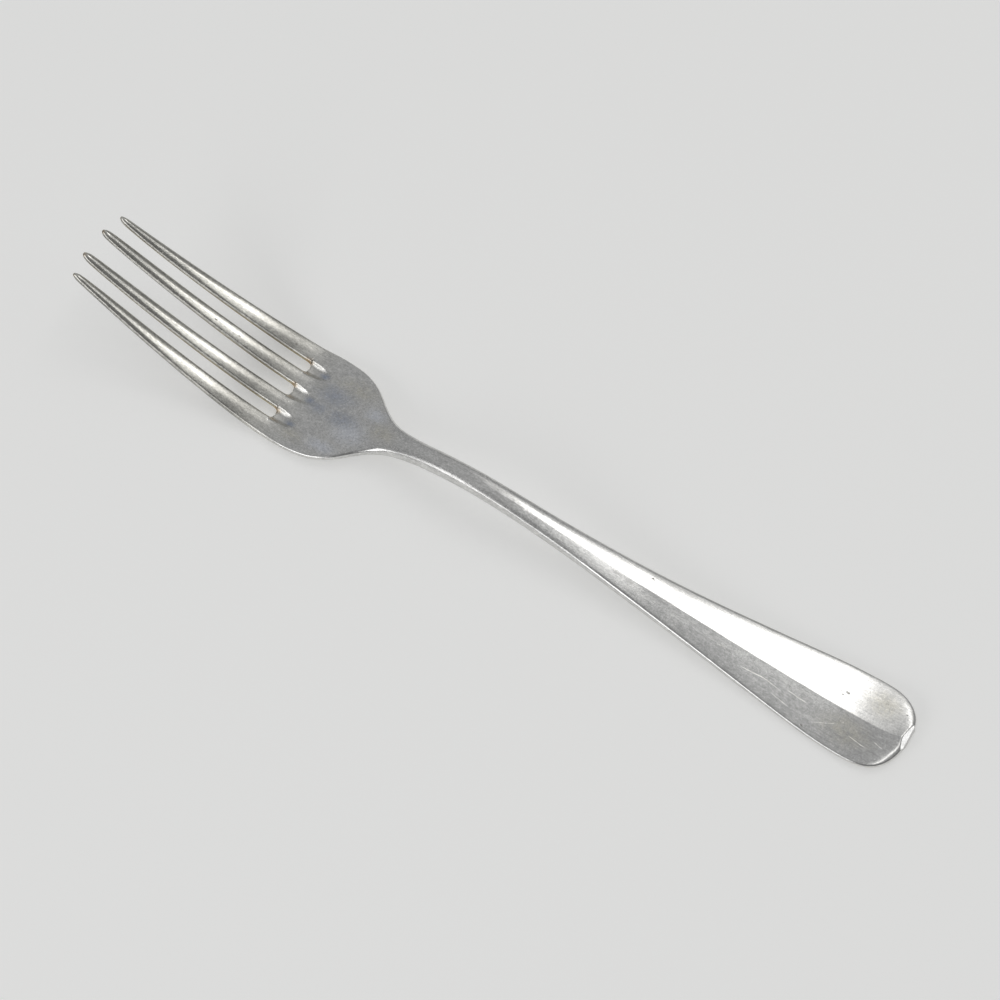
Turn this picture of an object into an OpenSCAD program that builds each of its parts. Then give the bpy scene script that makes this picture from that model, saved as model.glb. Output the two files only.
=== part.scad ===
// A four-tined dinner fork, forged in one piece from a single blank.
// +X runs toward the tine tips, +Y to the left and +Z up.
// The origin lies on the table, under the middle of the fork.

/* [Overall] */
// Length from the inner tine tips to the end of the handle
fork_l = 205; // [190:1:220]
// Width across the head at its widest
head_w = 25.8; // [24:0.2:28]
// Width of the neck at its narrowest
neck_w = 5.2; // [4.6:0.1:6.5]
// Width of the handle at its widest
handle_w = 19.5; // [16:0.5:23]

/* [Tines] */
// Length of the inner tines, from their tips to the roots of the slots
tine_l = 51; // [45:1:57]
// How far the inner tines reach past the outer ones
inner_lead = 1; // [0:0.1:3]
// Width across the outer tines at their tips
tip_spread = 18.3; // [16:0.2:21]
// Distance between the centre lines of the two inner tines
inner_pitch = 6.9; // [6.4:0.1:7.4]
// Width of a tine just behind its rounded tip
tip_w = 1.3; // [1:0.1:1.8]
// Length over which a tip is rounded off
tip_round_l = 1.5; // [0.6:0.1:2.4]
// Width of an inner tine where its slots end
inner_root_w = 4; // [3.4:0.1:4.4]
// Width of an outer tine where its slot ends
outer_root_w = 4.75; // [4:0.05:5.2]
// Length over which a slot closes to its squarish end
slot_round_l = 1.6; // [0.8:0.1:2.5]
// Radius along the upper corners of the tines
tine_r = 0.6; // [0.4:0.05:0.8]
// Height of the crown along the top of a tine at its tip
tip_crown = 0.45; // [0.2:0.05:0.6]
// Height of the crown along the top of a tine at its root
root_crown = 0.3; // [0.1:0.05:0.6]

/* [Palm and neck] */
// Length of the palm, from the slot roots to the start of the neck
palm_l = 35; // [31:1:40]
// Length of the neck that keeps one width
neck_l = 11; // [6:1:18]
// Depth of the dish pressed into the palm
dish_d = 0.3; // [0:0.05:0.6]
// Length over which the groove behind each slot runs out
groove_l = 8; // [5:0.5:12]
// Height of the crown along the top of the neck
neck_crown = 1.2; // [0.8:0.1:1.6]

/* [Handle] */
// Height of the ridge above the edges of the handle
ridge_h = 1.3; // [0.6:0.1:1.8]
// Distance of the ridge from the centre line at the widest place
ridge_side = 0.7; // [0:0.1:1.5]
// Length over which the neck's round top turns into the ridge
ridge_fade_l = 45; // [25:1:60]
// Length of the rounded end of the handle
end_round_l = 9.5; // [7:0.5:13]
// Width of the blunt nose at the very end
nose_w = 4.4; // [2:0.2:6]
// Distance that wear has moved the nose to the right
nose_side = 1; // [0:0.1:2]
// Length of the bevel that is filed across the nose
nose_bevel_l = 0.9; // [0.4:0.1:1.6]
// Thickness that the bevel leaves at the nose
nose_bevel_t = 1.2; // [1:0.05:1.5]

/* [Side profile] */
// Height of the underside at the inner tips
tip_rise = 20; // [14:0.5:25]
// Distance of the heel behind the slot roots
heel_back = 5; // [3:0.5:8]
// Height of the underside at the top of the arch
arch_rise = 7; // [4:0.5:10]
// Distance of the top of the arch behind the slot roots
arch_back = 50; // [42:1:58]
// Distance of the handle's resting place from its end
rest_from_end = 17; // [14:0.5:24]
// Height of the underside at the end of the handle
end_rise = 1.4; // [0:0.1:3]
// Length of the flat that is worn at each resting place
rest_l = 3; // [2:0.2:5]

/* [Thickness] */
// Thickness of a tine at its tip
tip_t = 1.3; // [1.1:0.1:1.8]
// Thickness along the edges of a tine at its root
root_edge_t = 1.7; // [1.4:0.1:2]
// Thickness along the edge of the palm
palm_edge_t = 2.1; // [1.8:0.1:2.5]
// Thickness along the edge of the neck
neck_edge_t = 2.8; // [2.4:0.1:3.4]
// Thickness along the edge of the handle
handle_edge_t = 1.4; // [1.2:0.05:1.8]
// Radius along the upper corners of the palm
palm_r = 0.6; // [0.3:0.05:0.8]
// Radius along the upper corners of the neck
neck_r = 1; // [0.6:0.05:1.3]
// Radius along the upper corners of the handle
handle_r = 0.5; // [0.3:0.05:0.7]
// How far the underside of the palm rises toward its edges
palm_belly = 0.4; // [0:0.05:0.6]
// How far the underside of the neck rises toward its edges
neck_belly = 0.6; // [0:0.05:0.9]
// How far the underside of the handle rises toward its edges
handle_belly = 0.2; // [0:0.05:0.4]

/* [Hidden] */

// Places along the fork, measured back from the inner tips
root_s = tine_l;
heel_s = root_s + heel_back;
heel_from_s = heel_s - rest_l / 2;
heel_to_s = heel_s + rest_l / 2;
neck_s = root_s + palm_l;
flare_s = neck_s + neck_l;
arch_s = root_s + arch_back;
rest_s = fork_l - rest_from_end;
rest_from_s = rest_s - rest_l / 2;
rest_to_s = rest_s + rest_l / 2;
round_s = fork_l - end_round_l;

// How the outline narrows from the palm to the neck, as [place, narrowing]
shoulder_shares =
    [[0, 0], [0.17, 0.03], [0.3, 0.11], [0.43, 0.3], [0.57, 0.62], [0.7, 0.85], [0.83, 0.95], [1, 1]];
// How the outline widens from the neck to the broad end, as [place, widening]
flare_shares =
    [[0, 0], [0.14, 0.02], [0.25, 0.07], [0.35, 0.16], [0.55, 0.395], [0.75, 0.705], [0.9, 0.945], [1, 1]];
// How the underside comes down from the arch to the handle's rest, as [place, height]
droop_shares = [[0, 1], [0.23, 0.73], [0.51, 0.3], [0.8, 0.07], [1, 0]];

// Powers of the smooth curves: 1 is a straight line, and 2 a parabola or an ellipse
spread_power = 1.35;
sweep_power = 1.5;
inner_taper_power = 0.38;
outer_taper_power = 0.62;
tine_t_power = 0.6;
tip_top_power = 1.25;
root_top_power = 2.2;
slot_end_power = 3.5;
end_power = 2.35;
nose_side_power = 5;
end_rise_power = 2;
neck_top_power = 2.6;
edge_roll_power = 6;

// Share of the half width under which the underside is flat
flat_share = 0.42;
// Share of the ridge's height that each facet falls in a straight line, before its edge rolls off
facet_share = 0.8;
// Lower corners as a share of the upper ones
under_r_share = 0.8;
// Share of its thickness that the handle keeps at its very end
end_t_share = 0.5;
// The largest share of a width or an edge that one corner takes
corner_share = 0.38;
// The part of a strip's width that its corner points spread over, where no corner is near
even_share = 0.3;

// Ring places, as shares of the stretch that each list covers
tip_turns = [18, 42, 66, 90];
tine_shares = [0.02, 0.05, 0.1, 0.16, 0.23, 0.3, 0.38, 0.46, 0.54, 0.62, 0.7, 0.78, 0.86, 0.94, 1];
slot_end_shares = [0.7, 0.4, 0.2, 0.08, 0.02];
web_shares = [0, 0.15, 0.35, 0.65];
flat_shares = [0, 0.5];
palm_shares = [0, 0.07, 0.14, 0.21, 0.28, 0.35, 0.42, 0.49, 0.56, 0.64, 0.73, 0.84];
neck_shares = [0, 0.25, 0.5, 0.75];
handle_shares = [0, 0.07, 0.14, 0.21, 0.29, 0.37, 0.45, 0.53, 0.61, 0.69, 0.77, 0.85, 0.93];
broad_shares = [0, 0.5];
end_shares = [0, 0.3, 0.5, 0.65, 0.77, 0.86, 0.91, 0.95, 0.98, 1];

// Where the points between a strip's two corners lie, and the angles of a corner's points
crest_shares = [0.25, 0.5, 0.75];
corner_turns = [0, 30, 60, 90];
corner_n = len(corner_turns);
// Points along the top and along the underside of a tine or its strip
top_n = 2 * corner_n + len(crest_shares);
under_n = 4;
// The lower point that each upper point is joined to where a strip is closed by a flat face
under_of = [0, 0, 0, 1, 1, 1, 2, 2, 3, 3, 3];
// Distance over which a slope is measured
slope_step = 0.5;

function mix(a, b, t) = a + (b - a) * t;
function hold(t) = max(0, min(1, t));
function ease(t) = hold(t) * hold(t) * (3 - 2 * hold(t));
function join(lists) = [for (list = lists) for (item = list) item];

// A smooth curve through a table of [place, value], level at its two ends
function table_slope(table, i) =
    i == 0 || i == len(table) - 1
        ? 0
        : (table[i + 1][1] - table[i - 1][1]) / (table[i + 1][0] - table[i - 1][0]);
function table_row(table, at, i = 0) =
    i >= len(table) - 2 || at <= table[i + 1][0] ? i : table_row(table, at, i + 1);
function follow(table, at) =
    let (i = table_row(table, at))
    let (wide = table[i + 1][0] - table[i][0])
    let (t = hold((at - table[i][0]) / wide))
    let (from_slope = table_slope(table, i) * wide)
    let (to_slope = table_slope(table, i + 1) * wide)
    let (bend = 3 * (table[i + 1][1] - table[i][1]) - 2 * from_slope - to_slope)
    let (twist = from_slope + to_slope - 2 * (table[i + 1][1] - table[i][1]))
    table[i][1] + t * (from_slope + t * (bend + t * twist));

// One value for each zone behind the slots, blended from place to place
function zone_table(root, palm, neck, handle) =
    [[root_s, root], [heel_s, palm], [neck_s, neck], [arch_s, neck], [rest_s, handle], [fork_l, handle]];
edge_t_table = zone_table(root_edge_t, palm_edge_t, neck_edge_t, handle_edge_t);
crown_table = zone_table(0, -dish_d, neck_crown, ridge_h);
corner_table = zone_table(tine_r, palm_r, neck_r, handle_r);
belly_table = zone_table(0, palm_belly, neck_belly, handle_belly);

// Outline: half the width at a place
function end_factor(s) = pow(1 - pow(hold((s - round_s) / end_round_l), end_power), 1 / end_power);
function tine_outline(s) =
    mix(head_w, tip_spread, pow(hold((heel_s - s) / heel_s), spread_power)) / 2;
function shoulder_outline(s) =
    mix(head_w, neck_w, follow(shoulder_shares, (s - heel_s) / (neck_s - heel_s))) / 2;
function handle_outline(s) =
    mix(neck_w, handle_w, follow(flare_shares, (s - flare_s) / (round_s - flare_s))) / 2;
function half_w(s) =
    s < heel_s ? tine_outline(s)
    : s < neck_s ? shoulder_outline(s)
    : max(handle_outline(s) * end_factor(s), nose_w / 2);

// The worn nose lies a little to the right of the middle
function nose_shift(s) = -nose_side * pow(hold((s - round_s) / end_round_l), nose_side_power);

// Side profile: height of the underside at a place
function under_z(s) =
    s < heel_from_s ? tip_rise * pow((heel_from_s - s) / heel_from_s, sweep_power)
    : s < heel_to_s ? 0
    : s < arch_s ? arch_rise * ease((s - heel_to_s) / (arch_s - heel_to_s))
    : s < rest_from_s ? arch_rise * follow(droop_shares, (s - arch_s) / (rest_from_s - arch_s))
    : s < rest_to_s ? 0
    : end_rise * pow((s - rest_to_s) / (fork_l - rest_to_s), end_rise_power);
function slope(s) = atan((under_z(s - slope_step) - under_z(s + slope_step)) / (2 * slope_step));

// A point at a place, a distance to the side and a height square to the underside
tip_lean = tip_t / 2 * sin(slope(0));
function spot(s, y, n) =
    [
        fork_l / 2 + tip_lean - s * (1 + tip_lean / fork_l) - n * sin(slope(s)),
        y,
        under_z(s) + n * cos(slope(s))
    ];

// A corner's points: how far each lies in from the side, and how far below the top
function corner_ins(r) = [for (turn = corner_turns) r * (1 - cos(turn))];
function corner_drops(r) = [for (turn = corner_turns) r * (1 - sin(turn))];
function backward(list) = [for (i = [len(list) - 1 : -1 : 0]) list[i]];
// The upper points of a strip from side y_a to side y_b: the corners' and those between them
function strip_ys(y_a, y_b, ins_a, ins_b) =
    let (from_y = y_a - ins_a[corner_n - 1])
    let (to_y = y_b + ins_b[corner_n - 1])
    concat(
        [for (inset = ins_a) y_a - inset],
        [for (share = crest_shares) mix(from_y, to_y, share)],
        backward([for (inset = ins_b) y_b + inset])
    );
function strip_drops(drops_a, drops_b) =
    concat(drops_a, [for (share = crest_shares) 0], backward(drops_b));
// A crown from side y_a to side y_b: 1 on its middle line and 0 at the sides and beyond them
function crest(y, y_a, y_b, power) = 1 - pow(min(1, abs((2 * y - y_a - y_b) / (y_a - y_b))), power);

// Tines are numbered from the left outer one to the right outer one, and each slot has the
// number of the tine on its right
tine_count = 4;
last_tine = tine_count - 1;
function is_outer(k) = k == 0 || k == last_tine;
function tine_tip_s(k) = is_outer(k) ? inner_lead : 0;
function inner_w(s) = mix(tip_w, inner_root_w, pow(hold(s / root_s), inner_taper_power));
function outer_w(s) =
    mix(tip_w, outer_root_w, pow(hold((s - inner_lead) / (root_s - inner_lead)), outer_taper_power));
function slot_line(s) = (half_w(s) - outer_w(s) + (inner_pitch + inner_w(s)) / 2) / 2;
function slot_y(k, s) = k == 1 ? slot_line(s) : k == 2 ? 0 : -slot_line(s);
function slot_half(k, s) =
    k == 2
        ? (inner_pitch - inner_w(s)) / 2
        : (half_w(s) - outer_w(s) - (inner_pitch + inner_w(s)) / 2) / 2;
function slot_open(s) =
    pow(1 - pow(1 - hold((root_s - s) / slot_round_l), slot_end_power), 1 / slot_end_power);
function left_side(k, s) = k == 0 ? half_w(s) : slot_y(k, s) - slot_half(k, s);
function right_side(k, s) = k == last_tine ? -half_w(s) : slot_y(k + 1, s) + slot_half(k + 1, s);
// How far the metal reaches into a slot where the slot closes
function left_web(k, s) = k == 0 ? 0 : slot_half(k, s) * (1 - slot_open(s));
function right_web(k, s) = k == last_tine ? 0 : slot_half(k + 1, s) * (1 - slot_open(s));

// A tine's tip is rounded: its ring shrinks about its own middle
function tip_factor(k, s) =
    let (back = hold((s - tine_tip_s(k)) / tip_round_l))
    sqrt(1 - (1 - back) * (1 - back));
function tine_edge_t(s) = mix(tip_t - tip_crown, root_edge_t, pow(hold(s / root_s), tine_t_power));
function tine_crown(s) = mix(tip_crown, root_crown, hold(s / root_s));
function tine_top_power(s) = mix(tip_top_power, root_top_power, hold(s / root_s));
// A corner's insets, with its first point pushed out into the slot by the web
function webbed(ins, web) = [for (j = [0 : len(ins) - 1]) j == 0 ? -web : ins[j]];
function tine_ring(k, s) =
    let (left = left_side(k, s))
    let (right = right_side(k, s))
    let (edge = tine_edge_t(s))
    let (r = min(tine_r, corner_share * (left - right), corner_share * edge))
    let (under_r = r * under_r_share)
    let (ins_a = webbed(corner_ins(r), left_web(k, s)))
    let (ins_b = webbed(corner_ins(r), right_web(k, s)))
    let (ys = strip_ys(left, right, ins_a, ins_b))
    let (drops = strip_drops(corner_drops(r), corner_drops(r)))
    let (mid_y = (left + right) / 2)
    let (mid_n = (edge + tine_crown(s)) / 2)
    let (f = tip_factor(k, s))
    let (
        top = [
            for (j = [0 : top_n - 1])
                [ys[j], edge + tine_crown(s) * crest(ys[j], left, right, tine_top_power(s)) - drops[j]]
        ]
    )
    let (
        under = [
            [right - right_web(k, s), under_r],
            [right + under_r, 0],
            [left - under_r, 0],
            [left + left_web(k, s), under_r]
        ]
    )
    [for (p = concat(top, under)) spot(s, mix(mid_y, p[0], f), mix(mid_n, p[1], f))];

// Behind the slots the four strips are one solid, from one side of the fork to the other
slot_line_share = slot_line(root_s) / half_w(root_s);
root_r = min(tine_r, corner_share * root_edge_t);
function groove(s) = 1 - ease((s - root_s) / groove_l);
function under_groove(s) = 1 - ease((s - root_s) / slot_round_l);
function ridge_share(s) = ridge_side / (handle_w / 2) * ease((s - arch_s) / ridge_fade_l);
function strip_sides(s) =
    [for (share = [1, slot_line_share, ridge_share(s), -slot_line_share, -1]) share * half_w(s)];
// How far the top has fallen, at a share of the way from its highest line to an edge
function facet_fall(share) = mix(pow(share, edge_roll_power), share, facet_share);
function top_fall(s, share) =
    mix(pow(share, neck_top_power), facet_fall(share), ease((s - arch_s) / ridge_fade_l));
function from_ridge(s, v) =
    v > ridge_share(s)
        ? (v - ridge_share(s)) / (1 - ridge_share(s))
        : (ridge_share(s) - v) / (1 + ridge_share(s));
function edge_t(s) = follow(edge_t_table, s);
function crown(s, v) = follow(crown_table, s) * (1 - top_fall(s, from_ridge(s, v)));
function belly(s, v) =
    follow(belly_table, s) * pow(max(0, abs(v) - flat_share) / (1 - flat_share), 2);
function corner_r(s) = min(follow(corner_table, s), corner_share * edge_t(s));
// The very end is rounded lengthways too: its rings shrink about half the edge's thickness
function end_shrink(s) = mix(end_t_share, 1, sqrt(1 - pow(1 - hold((fork_l - s) / handle_r), 2)));
function nose_n(s) = mix(nose_bevel_t, edge_t(s) + ridge_h, (fork_l - s) / nose_bevel_l);

// Insets of a strip's corner at a side with a slot before it, which turns into a groove
function groove_ins(k, width, s) =
    let (round_ins = webbed([for (inset = corner_ins(root_r)) inset + slot_half(k, root_s)], 0))
    [
        for (j = [0 : corner_n - 1])
            mix(even_share * width * j / (corner_n - 1), round_ins[j], groove(s))
    ];
function groove_half(k) = slot_half(k, root_s);
function strip_top(s, k) =
    let (sides = strip_sides(s))
    let (y_a = sides[k])
    let (y_b = sides[k + 1])
    let (width = y_a - y_b)
    let (edge_r = min(corner_r(s), corner_share * width))
    let (ins_a = k == 0 ? corner_ins(edge_r) : groove_ins(k, width, s))
    let (ins_b = k == last_tine ? corner_ins(edge_r) : groove_ins(k + 1, width, s))
    let (groove_drops = [for (drop = corner_drops(root_r)) drop * groove(s)])
    let (drops_a = k == 0 ? corner_drops(corner_r(s)) : groove_drops)
    let (drops_b = k == last_tine ? corner_drops(corner_r(s)) : groove_drops)
    let (ys = strip_ys(y_a, y_b, ins_a, ins_b))
    let (drops = strip_drops(drops_a, drops_b))
    let (hump_a = k == 0 ? y_a : y_a - groove_half(k))
    let (hump_b = k == last_tine ? y_b : y_b + groove_half(k + 1))
    [
        for (j = [0 : top_n - 1])
            let (hump = root_crown * groove(s) * crest(ys[j], hump_a, hump_b, root_top_power))
            let (n = edge_t(s) + crown(s, ys[j] / half_w(s)) + hump - drops[j])
            [ys[j], mix(handle_edge_t / 2, min(n, nose_n(s)), end_shrink(s))]
    ];
function strip_under(s, k) =
    let (sides = strip_sides(s))
    let (y_a = sides[k])
    let (y_b = sides[k + 1])
    let (under_r = corner_r(s) * under_r_share)
    let (slot_r = root_r * under_r_share)
    let (even = even_share * (y_a - y_b))
    let (edge_in = min(under_r, corner_share * (y_a - y_b)))
    let (in_a = k == 0 ? edge_in : mix(even, slot_r + groove_half(k), under_groove(s)))
    let (in_b = k == last_tine ? edge_in : mix(even, slot_r + groove_half(k + 1), under_groove(s)))
    let (slot_lift = slot_r * under_groove(s))
    let (ys = [y_b, y_b + in_b, y_a - in_a, y_a])
    let (lifts = [k == last_tine ? under_r : slot_lift, 0, 0, k == 0 ? under_r : slot_lift])
    [
        for (j = [0 : under_n - 1])
            [ys[j], mix(handle_edge_t / 2, belly(s, ys[j] / half_w(s)) + lifts[j], end_shrink(s))]
    ];
function body_ring(s) =
    let (
        top = [
            for (k = [0 : last_tine])
                for (j = [(k == 0 ? 0 : 1) : top_n - 1])
                    strip_top(s, k)[j]
        ]
    )
    let (
        under = [
            for (k = [last_tine : -1 : 0])
                for (j = [(k == last_tine ? 0 : 1) : under_n - 1])
                    strip_under(s, k)[j]
        ]
    )
    [for (p = concat(top, under)) spot(s, p[0] + nose_shift(s), p[1])];

// Ring places of each tine, without the last one at the slot roots, and of the body
function spread_over(shares, from_s, to_s) = [for (share = shares) mix(from_s, to_s, share)];
function tine_places(k) =
    concat(
        [for (turn = tip_turns) tine_tip_s(k) + tip_round_l * (1 - cos(turn))],
        spread_over(tine_shares, tine_tip_s(k) + tip_round_l, root_s - slot_round_l),
        [for (share = slot_end_shares) root_s - share * slot_round_l]
    );
body_places =
    concat(
        spread_over(web_shares, root_s, heel_from_s),
        spread_over(flat_shares, heel_from_s, heel_to_s),
        spread_over(palm_shares, heel_to_s, neck_s),
        spread_over(neck_shares, neck_s, arch_s),
        spread_over(handle_shares, arch_s, rest_from_s),
        [rest_from_s],
        spread_over(broad_shares, rest_to_s, round_s),
        spread_over(end_shares, round_s, fork_l)
    );

// Point numbers: first the rings of the four tines, then those of the body
tine_n = top_n + under_n;
body_top_n = tine_count * (top_n - 1) + 1;
body_n = body_top_n + tine_count * (under_n - 1) + 1;
tine_rings = len(tine_places(0));
body_rings = len(body_places);
body_first = tine_count * tine_rings * tine_n;
function tine_point(k, ring, i) = (k * tine_rings + ring) * tine_n + i % tine_n;
function body_point(ring, i) = body_first + ring * body_n + i % body_n;
// A tine's last ring is its share of the body's first one
function root_point(k, i) =
    let (j = i % tine_n)
    j < top_n
        ? body_first + k * (top_n - 1) + j
        : body_first + body_top_n + (last_tine - k) * (under_n - 1) + j - top_n;
function tine_or_root(k, ring, i) = ring < tine_rings ? tine_point(k, ring, i) : root_point(k, i);

// Two triangles for each four-sided cell between two rings
function cell(a, b, c, d) = [[a, b, c], [a, c, d]];
function tine_faces(k) =
    join([
        for (ring = [0 : tine_rings - 1])
            for (i = [0 : tine_n - 1])
                cell(
                    tine_or_root(k, ring, i),
                    tine_or_root(k, ring, i + 1),
                    tine_or_root(k, ring + 1, i + 1),
                    tine_or_root(k, ring + 1, i)
                )
    ]);
function body_faces() =
    join([
        for (ring = [0 : body_rings - 2])
            for (i = [0 : body_n - 1])
                cell(
                    body_point(ring, i),
                    body_point(ring, i + 1),
                    body_point(ring + 1, i + 1),
                    body_point(ring + 1, i)
                )
    ]);
// The flat face that closes one strip, between its upper points t and its lower points u
function cap(t, u) =
    join([
        for (i = [0 : top_n - 2])
            let (here = under_of[i])
            let (next = under_of[i + 1])
            here == next
                ? [[t[i], t[i + 1], u[here]]]
                : cell(t[i], t[i + 1], u[next], u[here])
    ]);
function tip_cap(k) =
    let (t = [for (i = [0 : top_n - 1]) tine_point(k, 0, i)])
    let (u = [for (i = [tine_n - 1 : -1 : top_n]) tine_point(k, 0, i)])
    [for (face = cap(t, u)) [face[2], face[1], face[0]]];
function end_cap(k) =
    let (last = body_rings - 1)
    let (u_first = body_top_n + (last_tine - k) * (under_n - 1))
    cap(
        [for (i = [0 : top_n - 1]) body_point(last, k * (top_n - 1) + i)],
        [for (i = [under_n - 1 : -1 : 0]) body_point(last, u_first + i)]
    );

module fork() {
    color("silver")
        polyhedron(
            points = concat(
                [for (k = [0 : last_tine]) for (s = tine_places(k)) for (p = tine_ring(k, s)) p],
                [for (s = body_places) for (p = body_ring(s)) p]
            ),
            faces = concat(
                [for (k = [0 : last_tine]) for (face = tine_faces(k)) face],
                body_faces(),
                [for (k = [0 : last_tine]) for (face = tip_cap(k)) face],
                [for (k = [0 : last_tine]) for (face = end_cap(k)) face]
            ),
            convexity = 10
        );
}

fork();
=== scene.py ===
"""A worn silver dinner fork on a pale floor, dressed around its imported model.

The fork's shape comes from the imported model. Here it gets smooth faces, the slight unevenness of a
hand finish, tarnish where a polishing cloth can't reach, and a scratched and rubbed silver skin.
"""

import math
from functools import reduce
from types import SimpleNamespace

import bmesh
import bpy
from mathutils import Matrix, Vector


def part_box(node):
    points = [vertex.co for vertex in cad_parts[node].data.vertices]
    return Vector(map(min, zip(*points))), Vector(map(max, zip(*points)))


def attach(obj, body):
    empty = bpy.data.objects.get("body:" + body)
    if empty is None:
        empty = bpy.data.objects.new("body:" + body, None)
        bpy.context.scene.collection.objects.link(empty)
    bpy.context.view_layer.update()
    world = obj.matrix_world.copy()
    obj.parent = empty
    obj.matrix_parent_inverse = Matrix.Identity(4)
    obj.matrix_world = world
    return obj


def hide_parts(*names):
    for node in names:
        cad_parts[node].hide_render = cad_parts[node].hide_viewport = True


bl_info = {
    "name": "Worn Silver Fork",
    "version": (1, 0, 0),
    "blender": (4, 5, 0),
    "location": "View3D > Sidebar > Fork",
    "description": "Finishes a dinner fork in worn silver and sets it on a pale floor",
    "category": "Object",
}

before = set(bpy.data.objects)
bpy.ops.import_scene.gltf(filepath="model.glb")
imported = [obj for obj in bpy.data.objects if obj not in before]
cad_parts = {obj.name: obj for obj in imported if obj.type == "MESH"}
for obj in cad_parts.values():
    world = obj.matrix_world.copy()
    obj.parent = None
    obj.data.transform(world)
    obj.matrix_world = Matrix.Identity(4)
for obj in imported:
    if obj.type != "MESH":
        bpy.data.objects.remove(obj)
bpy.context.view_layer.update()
NODE = "fork"
BODY = "root"
FORK_LOW, FORK_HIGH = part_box(NODE)

MM = 0.001
PER_MM = 1 / MM
# Height scale of a mark that reaches through the fork from top to bottom, in millimetres
ANY_HEIGHT = 1000.0

# Inputs of the hand finish, and the setting that each one comes from
FINISH_INPUTS = {
    "Roof": "roof_share",
    "Roof from": "roof_from",
    "Roof at": "roof_full",
    "Slots": "slot_gap",
    "Slot end": "slot_end",
    "Groove": "groove_depth",
    "Groove length": "groove_length",
    "Groove half width": "groove_half",
    "Nose height": "nose_height",
    "Nose slope": "nose_slope",
    "Sharp ridge": "ridge_sharp",
    "Rounded ridge": "ridge_round",
    "Unevenness": "uneven_depth",
    "Wave": "uneven_length",
    "Cloth reach": "cloth_reach",
    "Seed": "seed",
}
# Vertices closer than this are one, and how freely triangles are joined into four-sided faces
SAME_PLACE = 0.001 * MM
JOIN_BEND = math.radians(120)
JOIN_CORNERS = math.radians(150)
JOIN_LIKE_NEIGHBOURS = 2.0
# A crest's two faces look up at least this much, and it runs across the fork at most this much
FACES_UP = 0.7
MOST_ACROSS = 0.4
# Where rays start, under and above the surface, and how far a tine's sides can be
INSIDE = 0.3 * MM
JUST_OUTSIDE = 0.05 * MM
WIDEST_TINE = 6 * MM
# 1 is a roof with straight sides, and 2 a rounded one
ROOF_POWER = 1.35
# How long the ridge takes to go from sharp to round, where on the neck the rounding ends and where
# it is full, how steep the sides are that it joins, and how blunt the ridge already is
RIDGE_FADE = 12 * MM
RIDGE_END = -2 * MM
RIDGE_FULL = -34 * MM
RIDGE_SIDES = 0.2
RIDGE_BLUNT = 0.3 * MM
# From where the ridge strays to the side, and how fast
STRAY_FROM = -8 * MM
STRAY = 0.009
# How much of a groove's width is its floor, how fast it narrows, the share of its length that is
# full depth, and how far ahead of the slot's end it fades
GROOVE_FLOOR = 0.2
GROOVE_TAPER = 0.2
GROOVE_FULL = 0.15
GROOVE_LEAD = 0.4 * MM
# Tools reach what looks up at least this much, in part and in full
TOOL_REACH = (0.0, 0.6)
# Height above the floor where the unevenness starts and where it is full
OFF_FLOOR = (0.1 * MM, 1.2 * MM)
# Steps of blurring, and how far an edge stands proud of its blurred self where hands rub it
BLUR_STEPS = 6
PROUD = (0.005 * MM, 0.04 * MM)

# Names that the geometry tree writes and the material reads
HIDDEN_FROM_CLOTH = "hidden_from_cloth"
RUBBED_EDGE = "rubbed_edge"
OUT_ON_TINE = "out_on_tine"
IN_GROOVE = "in_groove"


class Wire:
    """A socket's output. Python's operators join it to new Math or Vector Math nodes."""

    def __init__(self, graph, socket):
        self.graph = graph
        self.socket = socket

    def _join(self, operation, *others):
        if _is_vector(self):
            if operation == "MULTIPLY" and not _is_vector(others[0]):
                return self.graph.node(
                    "ShaderNodeVectorMath", {"operation": "SCALE"}, {0: self, "Scale": others[0]}
                )
            kind = "ShaderNodeVectorMath"
        else:
            kind = "ShaderNodeMath"
        return self.graph.node(kind, {"operation": operation}, dict(enumerate((self, *others))))

    def _join_back(self, operation, other):
        return self.graph.node("ShaderNodeMath", {"operation": operation}, {0: other, 1: self})

    def __add__(self, other):
        return self._join("ADD", other)

    __radd__ = __add__

    def __sub__(self, other):
        return self._join("SUBTRACT", other)

    def __rsub__(self, other):
        return self._join_back("SUBTRACT", other)

    def __mul__(self, other):
        return self._join("MULTIPLY", other)

    def __truediv__(self, other):
        return self._join("DIVIDE", other)

    def __rtruediv__(self, other):
        return self._join_back("DIVIDE", other)

    def __pow__(self, other):
        return self._join("POWER", other)

    def __abs__(self):
        return self._join("ABSOLUTE")

    def part(self, name):
        """One coordinate of a vector: X, Y or Z."""
        return self.graph.node("ShaderNodeSeparateXYZ", {}, {0: self}, name)


def _is_vector(value):
    if isinstance(value, Wire):
        return value.socket.type in {"VECTOR", "RGBA"}
    return hasattr(value, "__len__")


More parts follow.
